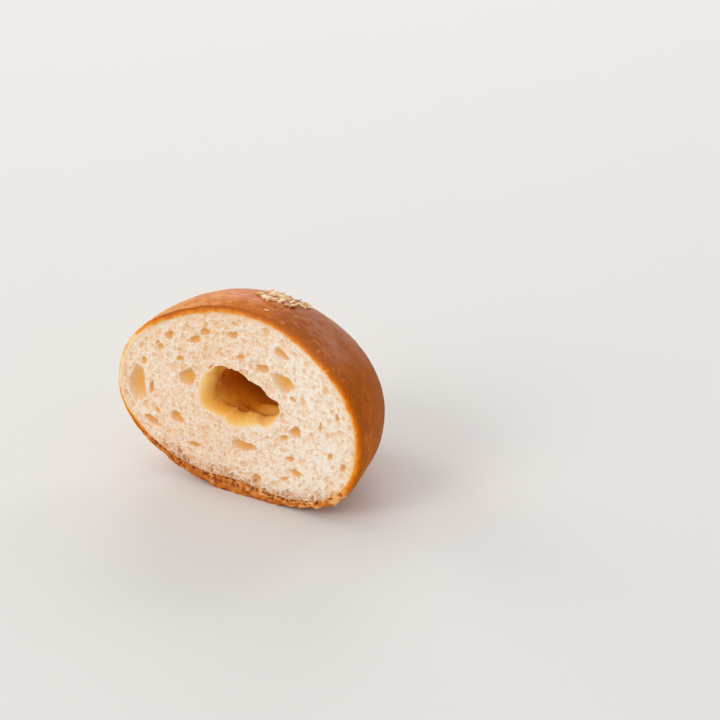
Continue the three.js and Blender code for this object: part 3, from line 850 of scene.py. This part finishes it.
# The net of close-packed cells. They are drawn out round the hollow, and loose in patches.
heading = np.arctan2(x - HOLLOW_X, HOLLOW_Z - z)
wavy_x = x + NET_WAVES * soft_noise(face_points, 1.7 * MM, 63)
wavy_z = z + NET_WAVES * soft_noise(face_points, 1.7 * MM, 64)
nets = [cell_net(wavy_x, wavy_z, pitch * MM, seed, heading) for pitch, seed in NETS]
(wide_gap, wide_draw), (wall_gap, cell_draw), (fine_gap, fine_draw) = nets
loose = smooth_step(-0.4, 0.5, soft_noise(face_points, 5 * MM, 65) + 0.5 * by_base)
wide_wall = smooth_step(0.16, 0.03, wide_gap) * loose
wall = np.maximum(wide_wall, (1 - 0.5 * loose) * smooth_step(0.24, 0.04, wall_gap))
fine_wall = smooth_step(0.30, 0.05, fine_gap)
depth = WIDE_DEPTH * wide_draw**2 * loose * smooth_step(0.02, 0.4, wide_gap)
depth = depth + (CELL_DEPTHS[0] + CELL_DEPTHS[1] * cell_draw**2) * smooth_step(0.04, 0.5, wall_gap)
depth = MM * clear * (depth * (1 + by_base) + FINE_DEPTH * fine_draw * (1 - fine_wall))
# Inside the cells, more in the deeper and larger ones, a golden tint with painted shade is laid.
cell_tint_and_shade = (0.08 + 0.25 * cell_draw**2 + 0.22 * loose * wide_draw**2) * (1 - wall) * clear

# The larger cells that open the net, scattered and then main ones.
for pitch, chance, smallest, largest, seed in SCATTERED_CELLS:
    inside, half_width, drawn = spots(
        x, z, pitch * MM, chance, smallest * MM, largest * MM, seed, SCATTERED_STRETCH, heading,
    )
    depth = np.maximum(depth, SCATTERED_DEPTH * half_width * inside**BOWL_ROUNDNESS * clear)
    cell_tint_and_shade = np.maximum(cell_tint_and_shade, (0.20 + 0.45 * drawn) * inside**0.4 * clear)
for cell in MAIN_CELLS:
    more_depth, more_tint_and_shade = open_cell(x, z, cell)
    depth = np.maximum(depth, more_depth)
    cell_tint_and_shade = np.maximum(cell_tint_and_shade, more_tint_and_shade)
cotton = layered_noise(face_points, COTTON_LUMPS)
slow = layered_noise(face_points, SLOW_LUMPS)
y = y - np.where(on_face, lip - sink, 0)
y = y + np.where(on_face, depth + MM * (cotton + slow) * smooth_step(0, 0.8 * MM, to_crust), 0)
y = y + np.where(on_face, RIM_TUCK * smooth_step(0, -0.25 * MM, to_crust), 0)

points = np.stack([x, y, z], axis=-1)
hidden = loaf_point(angle, back_share, skin_swell(angle, back_share) - tucked * (1 + back_share))
points = np.where((back_share > 0)[:, None], hidden, points)
points[ring == crumb_rings] = points[ring == crumb_rings].mean(axis=0)
points[ring == 0] = points[ring == 0].mean(axis=0)

# Toasted along the crust, most of all above the fried base, and least at the pale left rim.
toast_reach = MM * (TOAST_REACH_MM[0] + TOAST_REACH_MM[1] * underneath)
uneven_gap = to_crust + 0.35 * MM * soft_noise(face_points, 1.2 * MM, 55)
pale_side = smooth_step(0.35, 0.95, -side) * (1 - underneath)
gap = np.clip(uneven_gap, 0, None) / toast_reach
toast = (TOAST_NEAR * np.exp(-gap) + TOAST_FAR * np.exp(-gap / 3.5)) * (1 - 0.6 * pale_side)
toast += by_base * (0.35 * (1 - wall) * cell_draw - 0.5 * wall * toast)

# Whiter towards the right and on its walls, the walls as painted highlight, and creamier in its cells and
# sunken spots as painted shade.
whiter = smooth_step(-12 * MM, 24 * MM, x) * WHITENESS["right"]
whiter = whiter + WHITENESS["low"] * smooth_step(16 * MM, 4 * MM, z)
whiter += WHITENESS["left"] * smooth_step(-10 * MM, -22 * MM, x) * smooth_step(10 * MM, 18 * MM, z)
# Whiter walls: painted highlight.
white = WHITENESS["everywhere"] + whiter + WHITENESS["wall"] * wall + WHITENESS["fine wall"] * fine_wall
# Creamier in the deeper cells and the sunken spots: painted shade.
white = white + WHITENESS["cell"] * cell_draw**2 + WHITENESS["cotton"] * cotton

# Butter soaked the lip and the hollow, lower left the most; deeper in it darkens, partly painted shade, and
# the lit floor is painted lighter, painted light.
wetter = np.exp(-((np.degrees(angle) % 360 - WETTEST_DEGREES) / WET_SPREAD_DEGREES) ** 2)
lip_soak = LIP_SOAK + WET_SOAK * wetter
soak_and_shade = np.where(in_hollow, lip_soak + SOAK_AND_SHADE_PER_MM * (deep_mm - lip / MM), 0)
lit_floor = smooth_step(-0.2, -0.6, rise) * smooth_step(-0.3, 0.3, side)
soak_and_shade -= LIT_FLOOR_LIGHT * lit_floor * smooth_step(13, 9, deep_mm) * smooth_step(1, 6, deep_mm)
soak_and_shade += np.where(on_face, lip_soak * smooth_step(1.08, 0.15, from_mouth / lip), 0)
# The cell values are a golden tint with painted shade.
paint_values(crumb, "cell", np.where(on_face, cell_tint_and_shade, 0))
paint_values(crumb, "toast", np.where(on_face, np.clip(toast, 0, 1), 0))
paint_values(crumb, "fried", underneath)
paint_values(crumb, "white", np.clip(white, 0, 1))
paint_values(crumb, "soak_and_shade", np.clip(soak_and_shade, 0, 1))
roll_up(crumb, points)
slim_down(crumb, CRUMB_TRIANGLES)


def crumb_material():
    """Cream crumb, golden with painted shade inside its cells, and soaked brown with painted shade deep in
    the hollow.
    """
    material, tree, shader = new_material("soft_crumb")
    coords = add_node(tree, "ShaderNodeTexCoord").outputs["Object"]
    flecks = add_node(tree, "ShaderNodeTexNoise", Vector=coords, Scale=1500.0, Detail=3.0, Roughness=0.7)
    flecked = add_node(
        tree, "ShaderNodeMath", {"operation": "MULTIPLY_ADD", "use_clamp": True},
        _0=ramp(tree, flecks.outputs["Fac"], 0.3, 0.7, -0.5, 0.5), _1=0.45, _2=painted(tree, "white"),
    )
    colour = blend_colours(tree, flecked.outputs[0], *CREAM_TONES)
    colour = blend_colours(tree, painted(tree, "cell"), colour, CELL_TINT_AND_SHADE_COLOUR)
    # Butter colour, with painted shade deep in the hollow and painted light on its lit floor.
    soak_and_shade = painted(tree, "soak_and_shade")
    soaked_and_shaded = add_node(
        tree, "ShaderNodeGroup", {"node_tree": oven_browning}, Baking=soak_and_shade,
        Mottle=0.12, Mottle_Scale=200.0, **SOAKED_AND_SHADED_COLOURS,
    )
    colour = blend_colours(tree, ramp(tree, soak_and_shade, 0.0, 0.15), colour, soaked_and_shaded.outputs["Color"])
    rim_colour = blend_colours(tree, painted(tree, "fried"), TOASTED_COLOUR, FRIED_CRUMB_COLOUR)
    colour = blend_colours(tree, painted(tree, "toast"), colour, rim_colour)
    grain = add_node(tree, "ShaderNodeGroup", {"node_tree": fine_grain}, Scale=2400.0, Pores=0.5)
    bump = add_node(tree, "ShaderNodeBump", Strength=0.4, Distance=0.1 * MM, Height=grain.outputs["Height"])
    tree.links.new(colour, shader.inputs["Base Color"])
    tree.links.new(ramp(tree, soak_and_shade, 0.1, 0.4, 0.8, 0.4), shader.inputs["Roughness"])
    tree.links.new(bump.outputs["Normal"], shader.inputs["Normal"])
    shader.inputs["Specular IOR Level"].default_value = 0.35
    shader.inputs["Subsurface Weight"].default_value = 0.25
    shader.inputs["Subsurface Radius"].default_value = (1.0, 0.6, 0.3)
    shader.inputs["Subsurface Scale"].default_value = 0.8 * MM
    return material


crumb.data.materials.append(crumb_material())
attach(crumb, "root")

# ---------------------------------------------------------------------------------------------
# Salt. Coarse flat crystals, cream from the egg wash they were baked on with, in one patch on
# the back and a stray by the cut. Each starts as a box, is broken out of square and bevelled.
# ---------------------------------------------------------------------------------------------
SALT_MIDDLE = (5.2, 12.4)  # across, and back from the cut, in millimetres
SALT_REACH = 6.2
SALT_COUNT = 40
SALT_GAP = 0.8  # between the middles of crystals, at least
SALT_SIZE = (0.8, 2.5)
SALT_WIDTH = (0.45, 0.85)  # of a crystal's length
SALT_THICKNESS = (0.16, 0.34)
SALT_TILT = (0.35, 0.3)  # the most, about two level axes, in radians
SALT_BREAK = (0.62, 1.2)  # how far a corner breaks in or stands out
SALT_RISE = 0.10  # how high a crystal sits, by its length
SALT_CHIP = 0.09 * MM
STRAY_SALT = (6.6, 2.2)
SALT_TONES = ((0.76, 0.39, 0.15, 1), (0.98, 0.73, 0.45, 1))

draw = np.random.default_rng(5)
seats = [STRAY_SALT]
while len(seats) <= SALT_COUNT:
    heading = draw.uniform(0, 2 * math.pi)
    reach = SALT_REACH * math.sqrt(draw.uniform())
    seat = (SALT_MIDDLE[0] + reach * math.cos(heading), SALT_MIDDLE[1] + reach * math.sin(heading))
    if all(math.dist(seat, other) > SALT_GAP for other in seats):
        seats.append(seat)

crystals = []
for across_mm, back_mm in seats:
    share = np.array([back_mm * MM / HALF_LENGTH])
    half_width = ROLL_WIDTH / 2 * taper(share, *SIDE_TAPER)
    angle = np.arccos(np.clip(across_mm * MM / half_width, -1, 1))
    foot = Vector(loaf_point(angle, share, skin_swell(angle, share))[0])
    size = MM * draw.uniform(*SALT_SIZE)
    bpy.ops.object.select_all(action="DESELECT")
    bpy.ops.mesh.primitive_cube_add(
        size=1, location=foot,
        scale=(size, size * draw.uniform(*SALT_WIDTH), size * draw.uniform(*SALT_THICKNESS)),
        rotation=(
            draw.uniform(-SALT_TILT[0], SALT_TILT[0]),
            float(math.pi / 2 - angle[0]) + draw.uniform(-SALT_TILT[1], SALT_TILT[1]),
            draw.uniform(0, math.pi),
        ),
    )
    crystal = bpy.context.object
    bpy.ops.object.transform_apply(location=True, rotation=True, scale=True)
    bpy.ops.object.mode_set(mode="EDIT")
    bpy.ops.mesh.select_all(action="SELECT")
    bpy.ops.mesh.subdivide(number_cuts=1)
    bpy.ops.object.mode_set(mode="OBJECT")
    for corner in crystal.data.vertices:
        off = corner.co - foot
        corner.co = foot + off * draw.uniform(*SALT_BREAK) + Vector((0, 0, SALT_RISE * size))
    crystals.append(crystal)

bpy.ops.object.select_all(action="DESELECT")
for crystal in crystals:
    crystal.select_set(True)
bpy.context.view_layer.objects.active = crystals[0]
bpy.ops.object.join()
salt = bpy.context.object
salt.name = "coarse_salt"
chipping = salt.modifiers.new("chipping", "BEVEL")
chipping.width = SALT_CHIP
chipping.segments = 1
bpy.ops.object.modifier_apply(modifier=chipping.name)
bpy.ops.object.transform_apply(location=True)


def salt_material():
    """Cloudy cream crystal."""
    material, tree, shader = new_material("coarse_salt")
    coords = add_node(tree, "ShaderNodeTexCoord").outputs["Object"]
    clouds = add_node(tree, "ShaderNodeTexNoise", Vector=coords, Scale=700.0, Detail=3.0)
    cloudy = ramp(tree, clouds.outputs["Fac"], 0.35, 0.65)
    frost = add_node(tree, "ShaderNodeGroup", {"node_tree": fine_grain}, Scale=3000.0, Pores=0.3)
    bump = add_node(tree, "ShaderNodeBump", Strength=0.3, Distance=0.05 * MM, Height=frost.outputs["Height"])
    tree.links.new(blend_colours(tree, cloudy, *SALT_TONES), shader.inputs["Base Color"])
    tree.links.new(ramp(tree, clouds.outputs["Fac"], 0.3, 0.7, 0.28, 0.5), shader.inputs["Roughness"])
    tree.links.new(bump.outputs["Normal"], shader.inputs["Normal"])
    shader.inputs["Subsurface Weight"].default_value = 0.4
    shader.inputs["Subsurface Radius"].default_value = (1.0, 0.8, 0.6)
    shader.inputs["Subsurface Scale"].default_value = 0.6 * MM
    return material


salt.data.materials.append(salt_material())
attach(salt, "root")
